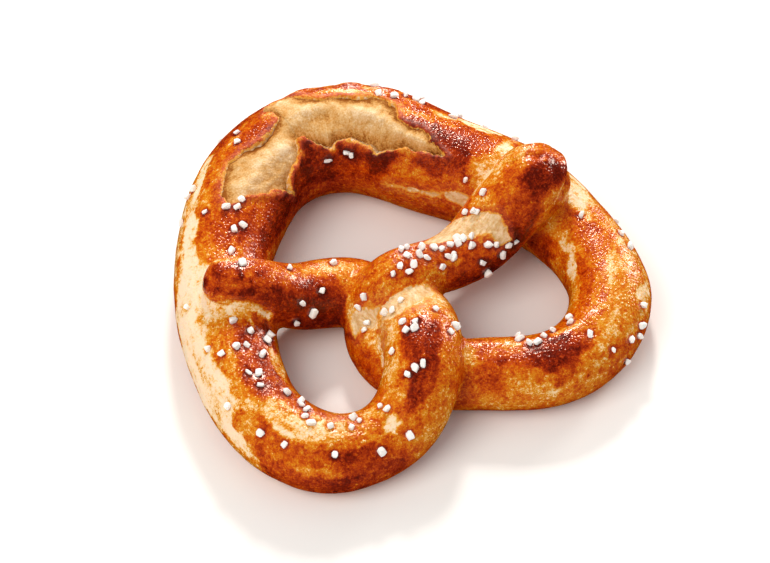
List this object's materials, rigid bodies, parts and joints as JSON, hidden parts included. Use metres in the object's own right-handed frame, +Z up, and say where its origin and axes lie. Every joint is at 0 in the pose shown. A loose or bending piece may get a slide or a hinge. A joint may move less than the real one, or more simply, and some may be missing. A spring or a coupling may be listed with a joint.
{
  "type": "soft pretzel",
  "caption": "Soft lye pretzel: one rope of dough in loops, crossed and twisted, with its tips on the thick belly, whose crust has burst open along the top.",
  "frame": {"origin": "under the middle of the pretzel's bounding box, on the surface it lies on", "axes": "+Z up, +Y towards the thick belly, +X towards the right tip; the two loops lie at -Y"},
  "size_m": [0.1474, 0.147, 0.0409],
  "materials": {
    "baked_crust": "glossy lye crust, chestnut to golden brown, cream where it has stretched or burst",
    "coarse_salt": "coarse white salt grains"
  },
  "bodies": {
    "root": {"pretzel": "baked_crust"}
  },
  "joints": []
}
